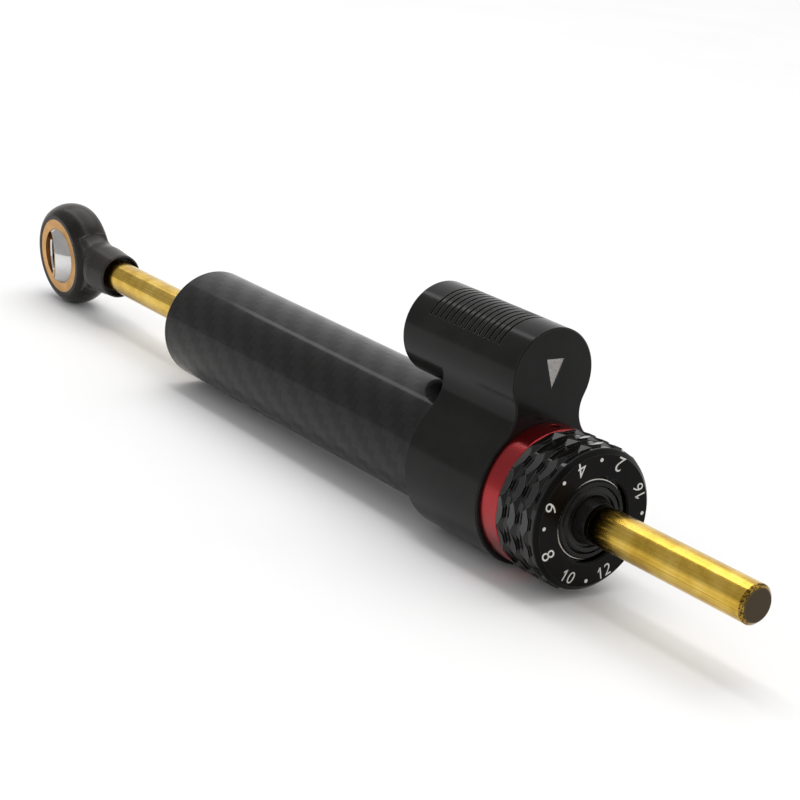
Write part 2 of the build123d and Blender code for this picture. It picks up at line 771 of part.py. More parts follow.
# Metering needle with its O-ring and return spring
with BuildPart() as metering_needle:
    stem_top_z = collar_top_z + needle_stem_length
    upright([
        (0, foot_z), (needle_foot_radius, foot_z), (needle_foot_radius, collar_z),
        (needle_collar_radius, collar_z), (needle_collar_radius, collar_top_z),
        (needle_stem_radius, collar_top_z), (needle_stem_radius, stem_top_z),
        (needle_tip_radius, stem_top_z + needle_tip_length), (0, stem_top_z + needle_tip_length),
    ], needle_x)
    needle_ring_z = (collar_z + collar_top_z) / 2
    needle_ring_floor = groove_floor(needle_bore, small_ring_section)
    ring_half = small_ring_section / 2 + 2 * seat_clearance
    ring_foot_z = needle_ring_z - ring_half
    ring_head_z = needle_ring_z + ring_half
    upright([
        (needle_ring_floor, ring_foot_z), (needle_bore + overrun, ring_foot_z),
        (needle_bore + overrun, ring_head_z), (needle_ring_floor, ring_head_z),
    ], needle_x, Mode.SUBTRACT)

with BuildPart() as needle_o_ring:
    with BuildSketch(Plane.XZ):
        needle_ring_centre = needle_bore - seat_clearance - small_ring_section / 2
        with Locations((needle_x + needle_ring_centre, needle_ring_z)):
            Circle(small_ring_section / 2)
    revolve(axis=Axis((needle_x, 0, 0), (0, 0, 1)))

with BuildPart() as needle_spring:
    needle_coil_radius = (needle_stem_radius + needle_collar_radius) / 2
    add(coil(
        (needle_x, 0, collar_top_z), (0, 0, 1), needle_spring_length, needle_coil_radius,
        needle_spring_wire, needle_spring_turns,
    ))

# Adjuster knob: rows of flats milled on a turned body, with pockets between their tips
pad_length = pad_row_pitch - pad_band
last_tip_x = knob_front_x - knob_rim_width
tip_places = [last_tip_x - i * pad_row_pitch for i in range(pad_row_count)]
pad_tip_size = knob_radius + pad_rise
knob_core_radius = knob_radius - knob_core_depth
rim_radius = housing_radius - knob_rim_step


def many_sided(x_start, x_end, start_size, end_size, turn, mode=Mode.ADD):
    """A solid with a flat for each setting, from one distance off the axis to another."""
    with BuildSketch(Plane.YZ.offset(x_start)) as first_end:
        RegularPolygon(start_size, setting_count, major_radius=False, rotation=turn)
    with BuildSketch(Plane.YZ.offset(x_end)) as last_end:
        RegularPolygon(end_size, setting_count, major_radius=False, rotation=turn)
    loft([first_end.sketch.face(), last_end.sketch.face()], ruled=True, mode=mode)


def pad_row(x_start, x_end):
    """One row of six-cornered pads whose flats rise to the front, with sloping pockets between them."""
    middle_x = (x_start + x_end) / 2
    corner_size = (knob_radius + pad_tip_size) / 2 / cos(radians(click_angle / 2))
    half_pitch = corner_size * sin(radians(click_angle / 2))
    rear_half = pad_rear_share * half_pitch
    front_half = pad_front_share * half_pitch
    with BuildPart() as pad:
        with BuildSketch(Plane.XY.offset(knob_core_radius)):
            with BuildLine():
                Polyline(
                    (x_start, -rear_half), (middle_x, -half_pitch), (x_end, -front_half),
                    (x_end, front_half), (middle_x, half_pitch), (x_start, rear_half), close=True,
                )
            make_face()
        extrude(amount=housing_radius - knob_core_radius)
    with BuildPart() as row:
        many_sided(x_start, middle_x, pocket_rear_share * knob_radius, corner_size, 0)
        many_sided(middle_x, x_end, corner_size, pocket_front_share * knob_radius, 0)
        with Locations(*[Location((0, 0, 0), (i * click_angle, 0, 0)) for i in range(setting_count)]):
            add(pad.part)
        many_sided(x_start, x_end, knob_radius, pad_tip_size, click_angle / 2, Mode.INTERSECT)
    return row.part


with BuildPart() as adjuster_knob:
    knob_start_x = tip_places[-1] - pad_row_pitch
    knob_outline = [(knob_start_x, 0), (knob_front_x, 0), (knob_front_x, rim_radius), (last_tip_x, rim_radius)]
    for tip_x in tip_places:
        knob_outline += [
            (tip_x, knob_core_radius), (tip_x - pad_length, knob_core_radius),
            (tip_x - pad_length, knob_radius), (tip_x - pad_row_pitch, knob_radius),
        ]
    turned(knob_outline)
    chamfer(edges().filter_by(GeomType.CIRCLE).group_by(Axis.X)[-1], knob_bevel)
    for tip_x in tip_places:
        add(pad_row(tip_x - pad_length, tip_x))
    tube(knob_start_x - 2 * overrun, knob_rear_x, 0, housing_radius + overrun, mode=Mode.SUBTRACT)

    # Bores: over the cam's sleeve, on the nose, and the recess in the face
    knob_shoulder_x = snap_rear_x - seat_clearance
    counterbore_end_x = cam_front_x + seat_clearance
    knob_counterbore = cam_sleeve_radius + seat_clearance
    tube(knob_rear_x - overrun, counterbore_end_x, 0, knob_counterbore, mode=Mode.SUBTRACT)
    tube(knob_rear_x, knob_front_x, 0, cam_bore, mode=Mode.SUBTRACT)
    tube(knob_shoulder_x, knob_front_x + overrun, 0, knob_recess_radius, mode=Mode.SUBTRACT)
    face_rims = edges().filter_by(GeomType.CIRCLE).group_by(Axis.X)[-1]
    chamfer(face_rims.sort_by(SortBy.RADIUS)[0], knob_recess_edge)

    # Dogs that drive the cam, between the counterbore's walls
    with BuildSketch(Plane.YZ.offset(cam_front_x - dog_height + seat_clearance)):
        Rectangle(2 * knob_counterbore + housing_edge, dog_width - 2 * seat_clearance)
        Circle(cam_bore, mode=Mode.SUBTRACT)
    extrude(amount=dog_height)

    # Click track with a dimple for each setting, and the stop pin's slot
    track_half = ball_radius - dimple_depth
    tube(
        knob_rear_x - overrun, knob_rear_x + track_depth,
        ball_circle - track_half, ball_circle + track_half, mode=Mode.SUBTRACT,
    )
    dimple_radius = sqrt(ball_radius**2 - (ball_radius - dimple_depth)**2)
    with BuildSketch(Plane.YZ.offset(knob_rear_x + track_depth)):
        with PolarLocations(ball_circle, setting_count):
            Circle(dimple_radius)
    extrude(amount=dimple_depth, taper=45, mode=Mode.SUBTRACT)
    slot_radius = stop_pin_radius + running_clearance
    slot_angle = stop_pin_angle + lowest_angle
    with BuildSketch(Plane.YZ.offset(knob_rear_x)):
        with BuildLine():
            CenterArc((0, 0), stop_circle, quarter_turn + slot_angle, turning_range)
        trace(line_width=2 * slot_radius)
        with Locations(*[dial_point(a, stop_circle) for a in (slot_angle, slot_angle + turning_range)]):
            Circle(slot_radius)
    extrude(amount=stop_slot_depth, mode=Mode.SUBTRACT)

# Piston with its band, energiser ring and the two clips that hold it on the rod
piston_radius = tube_bore - piston_clearance
band_floor = tube_bore - band_depth
piston_rear_x = piston_x - piston_length / 2
piston_front_x = piston_x + piston_length / 2
with BuildPart() as piston:
    tube(piston_rear_x, piston_front_x, rod_radius + running_clearance, piston_radius)
    chamfer(edges().filter_by(GeomType.CIRCLE).sort_by(SortBy.RADIUS)[-2:], housing_edge)
    tube(piston_x - band_width / 2, piston_x + band_width / 2, band_floor, tube_bore, mode=Mode.SUBTRACT)
    ring_groove(piston_x, band_floor)
    bleed_circle = (rod_radius + groove_floor(band_floor)) / 2
    with BuildSketch(Plane.YZ.offset(piston_rear_x)):
        with PolarLocations(bleed_circle, bleed_count):
            Circle(bleed_radius)
    extrude(amount=piston_length, mode=Mode.SUBTRACT)

with BuildPart() as piston_band:
    tube(
        piston_x - band_width / 2 + seat_clearance, piston_x + band_width / 2 - seat_clearance,
        band_floor + seat_clearance, tube_bore - running_clearance,
    )

with BuildPart() as piston_o_ring:
    o_ring(piston_x, band_floor)

clip_floor = rod_radius - clip_groove_depth
clip_places = [piston_rear_x - clip_width - face_gap, piston_front_x + face_gap]
with BuildPart() as piston_clips:
    for clip_x in clip_places:
        split_ring(
            clip_x, clip_x + clip_width, clip_floor + seat_clearance, clip_floor + clip_section,
            snap_gap_angle, full_turn / 4,
        )

# Rod: through the whole damper, chamfered at its free end, reduced for the rod end's thread
with BuildPart() as piston_rod:
    tube(collar_x - rod_tail_length, rod_tip_x, 0, rod_tail_radius)
    tube(collar_x - shank_mouth_depth, rod_tip_x, 0, rod_radius)
    chamfer(edges().filter_by(GeomType.CIRCLE).group_by(Axis.X)[-1], rod_tip_chamfer)
    for clip_x in clip_places:
        tube(
            clip_x - seat_clearance, clip_x + clip_width + seat_clearance, clip_floor,
            rod_radius + overrun, mode=Mode.SUBTRACT,
        )

# Rod end: barrelled eye on a short shank, turned a little about the rod
roll_down = (0, -cos(radians(eye_roll_angle)), sin(radians(eye_roll_angle)))
eye_plane = Plane((eye_x, 0, 0), x_dir=(1, 0, 0), z_dir=roll_down)
eye_axis = Axis((eye_x, 0, 0), roll_down)
blend_y = shank_radius + shank_blend
blend_x = sqrt((eye_radius + shank_blend)**2 - blend_y**2)
blend_touch_x = blend_x * eye_radius / (eye_radius + shank_blend)
blend_touch_y = blend_y * eye_radius / (eye_radius + shank_blend)
blend_middle_angle = atan2(blend_touch_y - blend_y, blend_touch_x - blend_x)
blend_middle_angle = (blend_middle_angle - pi / 2) / 2
blend_middle = (
    blend_x + shank_blend * cos(blend_middle_angle), blend_y + shank_blend * sin(blend_middle_angle),
)
mouth_x = eye_reach
with BuildPart() as rod_end_housing:
    # Shank, flaring into the eye
    with BuildSketch(eye_plane):
        with BuildLine():
            Polyline(
                (blend_touch_x, blend_touch_y), (liner_radius, blend_touch_y), (liner_radius, 0),
                (mouth_x, 0), (mouth_x, shank_mouth_radius - shank_mouth_round),
            )
            RadiusArc(
                (mouth_x, shank_mouth_radius - shank_mouth_round),
                (mouth_x - shank_mouth_round, shank_mouth_radius), shank_mouth_round,
            )
            Polyline(
                (mouth_x - shank_mouth_round, shank_mouth_radius),
                (mouth_x - shank_cone_length, shank_radius), (blend_x, shank_radius),
            )
            ThreePointArc((blend_x, shank_radius), blend_middle, (blend_touch_x, blend_touch_y))
        make_face()
    revolve(axis=Axis.X)
    # Sides of the shank run down to the eye's width
    with BuildSketch(Plane(eye_plane.origin, x_dir=(1, 0, 0), z_dir=eye_plane.y_dir)):
        for side in (1, -1):
            with BuildLine():
                side_start = blend_x - shank_blend / 3
                side_half_width = eye_half_width - eye_side_inset
                side_rise = shank_radius - side_half_width
                side_run = sqrt(shank_blend**2 - (shank_blend - side_rise)**2)
                side_top = blend_touch_y + overrun
                side_end_x = side_start + side_run
                Polyline(
                    (side_end_x, side * shank_radius), (side_end_x, side * side_top),
                    (0, side * side_top), (0, side * side_half_width), (side_start, side * side_half_width),
                )
                side_end = Vector(side_end_x, side * shank_radius)
                TangentArc((side_start, side * side_half_width), side_end, tangent=(1, 0))
            make_face()
    extrude(amount=eye_radius, both=True, mode=Mode.SUBTRACT)
    # Eye
    with BuildSketch(Plane(eye_plane.origin, x_dir=(1, 0, 0), z_dir=eye_plane.y_dir)):
        with BuildLine():
            upper_rim = Vector(eye_face_radius, eye_half_width)
            lower_rim = Vector(eye_face_radius, -eye_half_width)
            inner_x = liner_radius - overrun
            Polyline(upper_rim, (inner_x, eye_half_width), (inner_x, -eye_half_width), lower_rim)
            barrel = ThreePointArc(
                (eye_shoulder_radius, -eye_shoulder_half_width), (eye_radius, 0),
                (eye_shoulder_radius, eye_shoulder_half_width),
            )
            TangentArc(barrel @ 1, upper_rim, tangent=barrel % 1)
            TangentArc(barrel @ 0, lower_rim, tangent=barrel % 0 * -1)
        make_face()
    revolve(axis=eye_axis)
    with BuildSketch(eye_plane.offset(-eye_half_width - overrun)):
        Circle(liner_radius)
    extrude(amount=2 * (eye_half_width + overrun), mode=Mode.SUBTRACT)
    # Threaded hole and its open mouth
    hole_radius = rod_tail_radius + seat_clearance
    tube(collar_x - shank_hole_depth, collar_x + overrun, 0, hole_radius, mode=Mode.SUBTRACT)
    mouth_floor_x = collar_x - shank_mouth_depth - seat_clearance
    mouth_radius = rod_radius + shank_mouth_gap
    tube(mouth_floor_x, collar_x + overrun, 0, mouth_radius, mode=Mode.SUBTRACT)

with BuildPart() as rod_end_liner:
    liner_half_width = eye_half_width - liner_step
    with BuildSketch(eye_plane.offset(-liner_half_width)):
        Circle(liner_radius - seat_clearance)
    extrude(amount=2 * liner_half_width)
    with Locations((eye_x, 0, 0)):
        Sphere(ball_joint_radius + running_clearance, mode=Mode.SUBTRACT)

with BuildPart() as rod_end_ball:
    tilt = radians(ball_joint_tilt_angle)
    ball_normal = Vector(-sin(tilt), roll_down[1] * cos(tilt), roll_down[2] * cos(tilt))
    ball_plane = Plane((eye_x, 0, 0), x_dir=eye_plane.y_dir, z_dir=ball_normal)
    with Locations((eye_x, 0, 0)):
        Sphere(ball_joint_radius)
    with BuildSketch(ball_plane.offset(-ball_joint_half_width)):
        Circle(ball_joint_radius + overrun)
    extrude(amount=2 * ball_joint_half_width, mode=Mode.INTERSECT)
    with BuildSketch(ball_plane.offset(-ball_joint_half_width - overrun)):
        Circle(ball_joint_bore_radius)
    extrude(amount=2 * (ball_joint_half_width + overrun), mode=Mode.SUBTRACT)
    bore_mouths = edges().filter_by(GeomType.CIRCLE).sort_by(SortBy.RADIUS)[:2]
    chamfer(bore_mouths, ball_joint_edge)

# Write every piece
pieces = {
    "damper_tube": damper_tube,
    "tube_o_ring": tube_o_ring,
    "carbon_sleeve": carbon_sleeve,
    "rear_end_cap": rear_end_cap,
    "cap_o_ring": cap_o_ring,
    "rear_guide_bush": rear_guide_bush,
    "rear_rod_seal": rear_rod_seal,
    "rear_wiper": rear_wiper,
    "rear_circlip": rear_circlip,
    "front_housing": front_housing,
    "front_guide_bush": front_guide_bush,
    "front_rod_seal": front_rod_seal,
    "front_wiper": front_wiper,
    "knob_snap_ring": knob_snap_ring,
    "reservoir_end_plug": reservoir_end_plug,
    "plug_o_ring": plug_o_ring,
    "plug_circlip": plug_circlip,
    "fill_screw": fill_screw,
    "floating_piston": floating_piston,
    "floating_o_ring": floating_o_ring,
    "detent_ring": detent_ring,
    "setting_lock_screw": setting_lock_screw,
    "ring_screws": ring_screws,
    "detent_balls": detent_balls,
    "detent_springs": detent_springs,
    "knob_stop_pin": knob_stop_pin,
    "throttle_cam": throttle_cam,
    "metering_needle": metering_needle,
    "needle_o_ring": needle_o_ring,
    "needle_spring": needle_spring,
    "adjuster_knob": adjuster_knob,
    "piston": piston,
    "piston_band": piston_band,
    "piston_o_ring": piston_o_ring,
    "piston_clips": piston_clips,
    "piston_rod": piston_rod,
    "rod_end_housing": rod_end_housing,
    "rod_end_liner": rod_end_liner,
    "rod_end_ball": rod_end_ball,
}
os.makedirs("parts", exist_ok=True)
for name, piece in pieces.items():
    piece.part.label = name
    export_step(piece.part, f"parts/{name}.step")

# What the record states
stroke_each_way = (chamber_front_x - chamber_rear_x - piston_length) / 2 - piston_end_gap
print(f"rod travel each way {stroke_each_way:.2f} mm")
print(f"rod end centre x {eye_x:.2f}, ball bore axis {ball_normal}")
print(f"needle lift {cam_slope:.5f} mm per radian, from {cam_slope * radians(lowest_angle):.4f}"
      f" to {cam_slope * radians(lowest_angle + turning_range):.4f} mm")
print(f"needle spring's fixed end z {seat_z:.3f}")
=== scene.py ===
# %% [markdown]
# # A motorcycle steering damper, dressed for its photograph
# The shapes come from the CAD model, which this script loads as a fixed frame in metres. X runs along
# the rod towards the adjuster and Z up through the reservoir. The script gives every part its finish,
# prints the dial, and sets the camera, the floor and the light.

# %% Load the frame
import json
import math

import bmesh
import bpy
from mathutils import Euler, Matrix, Vector


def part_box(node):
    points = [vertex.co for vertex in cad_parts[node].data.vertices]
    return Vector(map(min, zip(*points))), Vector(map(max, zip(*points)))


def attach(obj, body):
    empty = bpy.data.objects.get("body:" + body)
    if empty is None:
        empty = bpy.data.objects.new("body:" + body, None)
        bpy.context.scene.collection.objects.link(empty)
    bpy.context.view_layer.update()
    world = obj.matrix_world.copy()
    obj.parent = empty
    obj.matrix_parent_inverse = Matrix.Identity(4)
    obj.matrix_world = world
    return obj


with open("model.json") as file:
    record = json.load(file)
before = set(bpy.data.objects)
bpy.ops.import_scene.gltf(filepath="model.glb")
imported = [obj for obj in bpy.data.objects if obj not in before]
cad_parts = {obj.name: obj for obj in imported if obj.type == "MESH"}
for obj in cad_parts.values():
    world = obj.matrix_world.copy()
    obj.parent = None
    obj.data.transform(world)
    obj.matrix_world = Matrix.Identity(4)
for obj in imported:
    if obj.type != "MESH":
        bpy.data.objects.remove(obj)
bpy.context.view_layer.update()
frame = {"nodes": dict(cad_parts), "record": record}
MM = 0.001

# %% [markdown]
# ## Small helpers for node trees
# A finish is a tree of nodes. Writing each node by hand takes five lines, so one helper makes a node,
# sets its options and joins or fills its inputs. A second one does arithmetic, and a third starts a
# shader group, the reusable box that holds an effect which several finishes share.

# %% Node helpers
def put(tree, kind, inputs=None, **options):
    """Add one node, with its options and its inputs, where an input is a value or another socket."""
    made = tree.nodes.new("ShaderNode" + kind)
    for name, value in options.items():
        setattr(made, name, value)
    for socket, value in (inputs or {}).items():
        if isinstance(value, bpy.types.NodeSocket):
            tree.links.new(value, made.inputs[socket])
        else:
            made.inputs[socket].default_value = value
    return made


def sums(tree, operation, *values, clamp=False):
    """One arithmetic node, as its result."""
    made = put(tree, "Math", dict(enumerate(values)), operation=operation, use_clamp=clamp)
    return made.outputs[0]


def ramp(tree, factor, *stops):
    """A colour ramp through (place, colour or grey) stops, as its colour."""
    made = put(tree, "ValToRGB", {"Fac": factor})
    elements = made.color_ramp.elements
    while len(elements) < len(stops):
        elements.new(1.0)
    for element, (place, tone) in zip(elements, stops):
        element.position = place
        colour = (tone, tone, tone) if isinstance(tone, float) else tone
        element.color = (*colour, 1.0)
    return made.outputs["Color"]


def blend_colours(tree, factor, first, second):
    """Mix two colours by a mask."""
    made = put(tree, "Mix", data_type="RGBA")
    pairs = ((0, factor), (6, first), (7, second))
    for socket, value in pairs:
        if isinstance(value, bpy.types.NodeSocket):
            tree.links.new(value, made.inputs[socket])
        else:
            made.inputs[socket].default_value = (*value, 1.0) if isinstance(value, tuple) else value
    return made.outputs[2]


def start_group(name, inputs, outputs):
    """A new shader group with named inputs, each with its usual value, and named outputs."""
    group = bpy.data.node_groups.new(name, "ShaderNodeTree")
    for socket, value in inputs.items():
        made = group.interface.new_socket(socket, in_out="INPUT", socket_type="NodeSocketFloat")
        made.default_value = value
    for socket in outputs:
        group.interface.new_socket(socket, in_out="OUTPUT", socket_type="NodeSocketFloat")
    given = group.nodes.new("NodeGroupInput").outputs
    result = group.nodes.new("NodeGroupOutput").inputs
    return group, given, result


def use(tree, group, **values):
    """Place a group in a tree with its own values, and give back its outputs."""
    made = put(tree, "Group", node_tree=group)
    for name, value in values.items():
        made.inputs[name.replace("_", " ")].default_value = value
    return made.outputs


def part_point(tree):
    """The point on the part, in metres in the frame."""
    return put(tree, "TexCoord").outputs["Object"]


def part_xyz(tree):
    """The same point as its three coordinates."""
    return put(tree, "SeparateXYZ", {0: part_point(tree)}).outputs


print("helpers ready")

# %% [markdown]
# ## Effects that several finishes share
# Edges of a used part are a little brighter, because the coating is thin or rubbed there; on the knob the
# bright edges are also a painted highlight. The bevel node finds them: it rounds the normal near an edge,
# and where that rounded normal leaves the true one there is an edge. A noise breaks the line up, so that the
# wear isn't even.

# %% Edge wear
edge_wear, given, result = start_group("edge_wear", {"Width": 0.0002, "Patch Size": 0.004}, ["Mask"])
rounded = put(edge_wear, "Bevel", {"Radius": given["Width"]}, samples=6)
true_normal = put(edge_wear, "NewGeometry")
along = put(edge_wear, "VectorMath", {0: rounded.outputs[0], 1: true_normal.outputs["Normal"]},
            operation="DOT_PRODUCT")
departure = sums(edge_wear, "SUBTRACT", 1.0, along.outputs["Value"])
edge = put(edge_wear, "MapRange", {"Value": departure, "From Min": 0.02, "From Max": 0.2})
place = part_point(edge_wear)
patch_scale = sums(edge_wear, "DIVIDE", 1.0, given["Patch Size"])
patches = put(edge_wear, "TexNoise", {"Vector": place, "Scale": patch_scale, "Detail": 4.0})
broken = put(edge_wear, "MapRange", {"Value": patches.outputs[0], "From Min": 0.35, "From Max": 0.65,
                                     "To Min": 0.35})
worn = sums(edge_wear, "MULTIPLY", edge.outputs[0], broken.outputs[0])
edge_wear.links.new(worn, result["Mask"])
print("edge wear")

# %% [markdown]
# Handled surfaces are never evenly glossy. Two sizes of noise, one for finger marks and one for fine
# dust, make a mask that the finishes use to raise roughness or lighten the colour a little.

# %% Smudges and dust
smudges, given, result = start_group("smudges", {"Size": 0.012, "Dust Size": 0.0006}, ["Mask", "Dust"])
place = part_point(smudges)
broad = put(smudges, "TexNoise", {"Vector": place, "Scale": sums(smudges, "DIVIDE", 1.0, given["Size"]),
                                  "Detail": 5.0, "Roughness": 0.62})
soft = put(smudges, "MapRange", {"Value": broad.outputs[0], "From Min": 0.38, "From Max": 0.7})
specks = put(smudges, "TexNoise", {"Vector": place, "Detail": 2.0,
                                   "Scale": sums(smudges, "DIVIDE", 1.0, given["Dust Size"])})
dust = put(smudges, "MapRange", {"Value": specks.outputs[0], "From Min": 0.68, "From Max": 0.8})
smudges.links.new(soft.outputs[0], result["Mask"])
smudges.links.new(dust.outputs[0], result["Dust"])
print("smudges")

# %% [markdown]
# A lathe leaves fine rings. They depend on the distance along the axis on a cylinder, and on the
# radius on a flat face, so the sum of the two serves both. A one-dimensional noise of that sum gives
# rings of uneven depth, as a real tool does.

# %% Turned rings
turned_rings, given, result = start_group("turned_rings", {"Pitch": 0.0001}, ["Height"])
position = part_xyz(turned_rings)
across = sums(turned_rings, "MULTIPLY", position["Y"], position["Y"])
upward = sums(turned_rings, "MULTIPLY", position["Z"], position["Z"])
radius = sums(turned_rings, "SQRT", sums(turned_rings, "ADD", across, upward))
run = sums(turned_rings, "DIVIDE", sums(turned_rings, "ADD", position["X"], radius), given["Pitch"])
rings = put(turned_rings, "TexNoise", {"W": run, "Scale": 1.0, "Detail": 2.0}, noise_dimensions="1D")
turned_rings.links.new(rings.outputs[0], result["Height"])
print("turned rings")

# %% [markdown]
# Rod and extruded bar carry marks along their length instead. The mask is a noise on the angle round
# the axis, stretched far along X, so that it comes out as long fine lines. On the gold rod the dark
# lines drawn from it are partly seal marks and partly painted reflection lines.

# %% Lengthwise lines
long_lines, given, result = start_group("long_lines", {"Lines": 60.0, "Length": 0.03}, ["Height"])
position = part_xyz(long_lines)
turn = put(long_lines, "CombineXYZ", {"Y": position["Y"], "Z": position["Z"]})
direction = put(long_lines, "VectorMath", {0: turn.outputs[0]}, operation="NORMALIZE")
spread = put(long_lines, "VectorMath", {0: direction.outputs[0], "Scale": given["Lines"]}, operation="SCALE")
stretched = put(long_lines, "CombineXYZ", {"X": sums(long_lines, "DIVIDE", position["X"], given["Length"])})
where = put(long_lines, "VectorMath", {0: spread.outputs[0], 1: stretched.outputs[0]}, operation="ADD")
lines = put(long_lines, "TexNoise", {"Vector": where.outputs[0], "Scale": 1.0, "Detail": 3.0})
long_lines.links.new(lines.outputs[0], result["Height"])
print("lengthwise lines")

# %% [markdown]
# ## Woven carbon
# The sleeve is a two-over, two-under twill. Round the tube and along it the surface is divided into
# square tows. In each square either the tow along the tube or the tow round it is on top, and the sum
# of the two counts decides which. Each tow is a little crowned and reflects along its own fibres; that
# sheen is painted into the colour as two tones of tow, with a slight relief under a thick clear lacquer.

# %% Carbon weave
TWILL_TOWS = 4.0
TOWS_ON_TOP = 1.5
FIBRES_PER_TOW = 14.0
FIBRE_DRIFT = 0.6
carbon_weave, given, result = start_group("carbon_weave", {"Tow Width": 0.0021, "Radius": 0.0132},
                                          ["Lengthwise", "Height", "Fibres"])
position = part_xyz(carbon_weave)
angle = sums(carbon_weave, "ARCTAN2", position["Y"], position["Z"])
around = sums(carbon_weave, "DIVIDE", sums(carbon_weave, "MULTIPLY", angle, given["Radius"]),
              given["Tow Width"])
forward = sums(carbon_weave, "DIVIDE", position["X"], given["Tow Width"])
columns = sums(carbon_weave, "FLOOR", around)
rows = sums(carbon_weave, "FLOOR", forward)
step = sums(carbon_weave, "FLOORED_MODULO", sums(carbon_weave, "ADD", columns, rows), TWILL_TOWS)
lengthwise = sums(carbon_weave, "LESS_THAN", step, TOWS_ON_TOP)
crowns = []
for run in (around, forward):
    middle = sums(carbon_weave, "SUBTRACT", sums(carbon_weave, "FRACT", run), 0.5)
    square = sums(carbon_weave, "MULTIPLY", middle, middle)
    crowns.append(sums(carbon_weave, "SUBTRACT", 1.0, sums(carbon_weave, "MULTIPLY", square, 4.0)))
crown = put(carbon_weave, "Mix", {0: lengthwise, 2: crowns[1], 3: crowns[0]})
fibre_runs = []
for fine, coarse in ((around, forward), (forward, around)):
    spot = put(carbon_weave, "CombineXYZ", {"X": sums(carbon_weave, "MULTIPLY", fine, FIBRES_PER_TOW),
                                            "Y": sums(carbon_weave, "MULTIPLY", coarse, FIBRE_DRIFT)})
    fibre_runs.append(put(carbon_weave, "TexNoise", {"Vector": spot.outputs[0], "Scale": 1.0,
                                                     "Detail": 2.0}).outputs[0])
fibres = put(carbon_weave, "Mix", {0: lengthwise, 2: fibre_runs[1], 3: fibre_runs[0]})
carbon_weave.links.new(lengthwise, result["Lengthwise"])
carbon_weave.links.new(crown.outputs[0], result["Height"])
carbon_weave.links.new(fibres.outputs[0], result["Fibres"])
print("carbon weave")

# %% [markdown]
# ## The finishes
# Each finish is one material with the Principled shader. What is the same all over, such as how
# metallic it is, is set on the shader itself, and only what varies over the surface is joined to it.

# %% Start a finish
def start_finish(name, colour, **settings):
    """A material, its tree and its shader with plain values set."""
    finish = bpy.data.materials.new(name)
    finish.use_nodes = True
    tree = finish.node_tree
    shader = tree.nodes["Principled BSDF"]
    shader.inputs["Base Color"].default_value = (*colour, 1.0)
    for socket, value in settings.items():
        shader.inputs[socket.replace("_", " ")].default_value = value
    return finish, tree, shader


def join(tree, value, shader, socket):
    """Join a result to one of the shader's sockets."""
    tree.links.new(value, shader.inputs[socket])


def relief(tree, shader, height, depth, edge_width):
    """Bump from a height over edges that are rounded a little, as real ones are."""
    rounded = put(tree, "Bevel", {"Radius": edge_width}, samples=6)
    bump = put(tree, "Bump", {"Height": height, "Distance": depth, "Strength": 1.0,
                              "Normal": rounded.outputs[0]})
    join(tree, bump.outputs[0], shader, "Normal")


def spread_value(tree, mask, low, high):
    """A roughness or other value that runs from low to high with a mask."""
    return put(tree, "MapRange", {"Value": mask, "To Min": low, "To Max": high}).outputs[0]


finishes = {}
print("ready for finishes")

# %% [markdown]
# ### Lacquered carbon
# Nearly black, with two tones of tow, a painted sheen along the fibres, under a clear coat that has a smooth
# surface of its own.

# %% Carbon lacquer
finish, tree, shader = start_finish("carbon_lacquer", (0.01, 0.01, 0.01), Metallic=0.0,
                                    Specular_IOR_Level=0.1, Coat_Weight=0.65, Coat_Roughness=0.08,
                                    Coat_IOR=1.22)
weave = use(tree, carbon_weave)
marks = use(tree, smudges, Size=0.02)
# The two tow colours differ as a painted sheen: lengthwise tows paler, cross tows darker, each with fibre
# grain.
lengthwise_tow_grain_and_painted_sheen = ramp(tree, weave["Fibres"], (0.3, (0.0072, 0.0062, 0.006)), (0.75, (0.0138, 0.0122, 0.0118)))
cross_tow_grain_and_painted_sheen = ramp(tree, weave["Fibres"], (0.3, (0.0052, 0.0045, 0.0043)), (0.75, (0.0092, 0.008, 0.0078)))
join(tree, blend_colours(tree, weave["Lengthwise"], cross_tow_grain_and_painted_sheen, lengthwise_tow_grain_and_painted_sheen), shader, "Base Color")
join(tree, spread_value(tree, weave["Lengthwise"], 0.52, 0.44), shader, "Roughness")
relief(tree, shader, weave["Height"], 0.00001, 0.0001)
finishes["carbon_lacquer"] = finish
print("carbon lacquer")

# %% [markdown]
# ### Black anodised alloy
# Anodising is a thin dyed oxide: black, half glossy, with the tool marks of the metal under it and
# paler edges where the oxide is thin.

# %% Black anodised
def anodised(name, colour, edge_colour, low_gloss, high_gloss, ring_pitch, ring_depth, metal, shine, coat):
    """One dyed oxide finish over turned or milled metal."""
    finish, tree, shader = start_finish(name, colour, Metallic=metal, Specular_IOR_Level=shine,
                                        Coat_Weight=coat, Coat_Roughness=0.16, Coat_IOR=1.5)
    marks = use(tree, smudges, Size=0.015)
    wear = use(tree, edge_wear, Width=0.00022)
    rings = use(tree, turned_rings, Pitch=ring_pitch)
    tone = ramp(tree, marks["Mask"], (0.0, colour), (1.0, tuple(1.35 * part + 0.002 for part in colour)))
    join(tree, blend_colours(tree, wear["Mask"], tone, edge_colour), shader, "Base Color")
    uneven = sums(tree, "MULTIPLY", sums(tree, "ADD", marks["Mask"], rings["Height"]), 0.5)
    join(tree, spread_value(tree, uneven, low_gloss, high_gloss), shader, "Roughness")
    relief(tree, shader, rings["Height"], ring_depth, 0.00015)
    return finish


finishes["black_anodised"] = anodised(
    "black_anodised", (0.009, 0.0085, 0.008), (0.1, 0.097, 0.093), low_gloss=0.12, high_gloss=0.24,
    ring_pitch=0.00012, ring_depth=0.0000008, metal=0.0, shine=0.12, coat=0.0)
finishes["ring_red"] = anodised(
    "ring_red", (0.3, 0.008, 0.011), (0.7, 0.1, 0.09), low_gloss=0.22, high_gloss=0.34,
    ring_pitch=0.00009, ring_depth=0.0000016, metal=0.9, shine=0.5, coat=0.4)
print("anodised finishes")
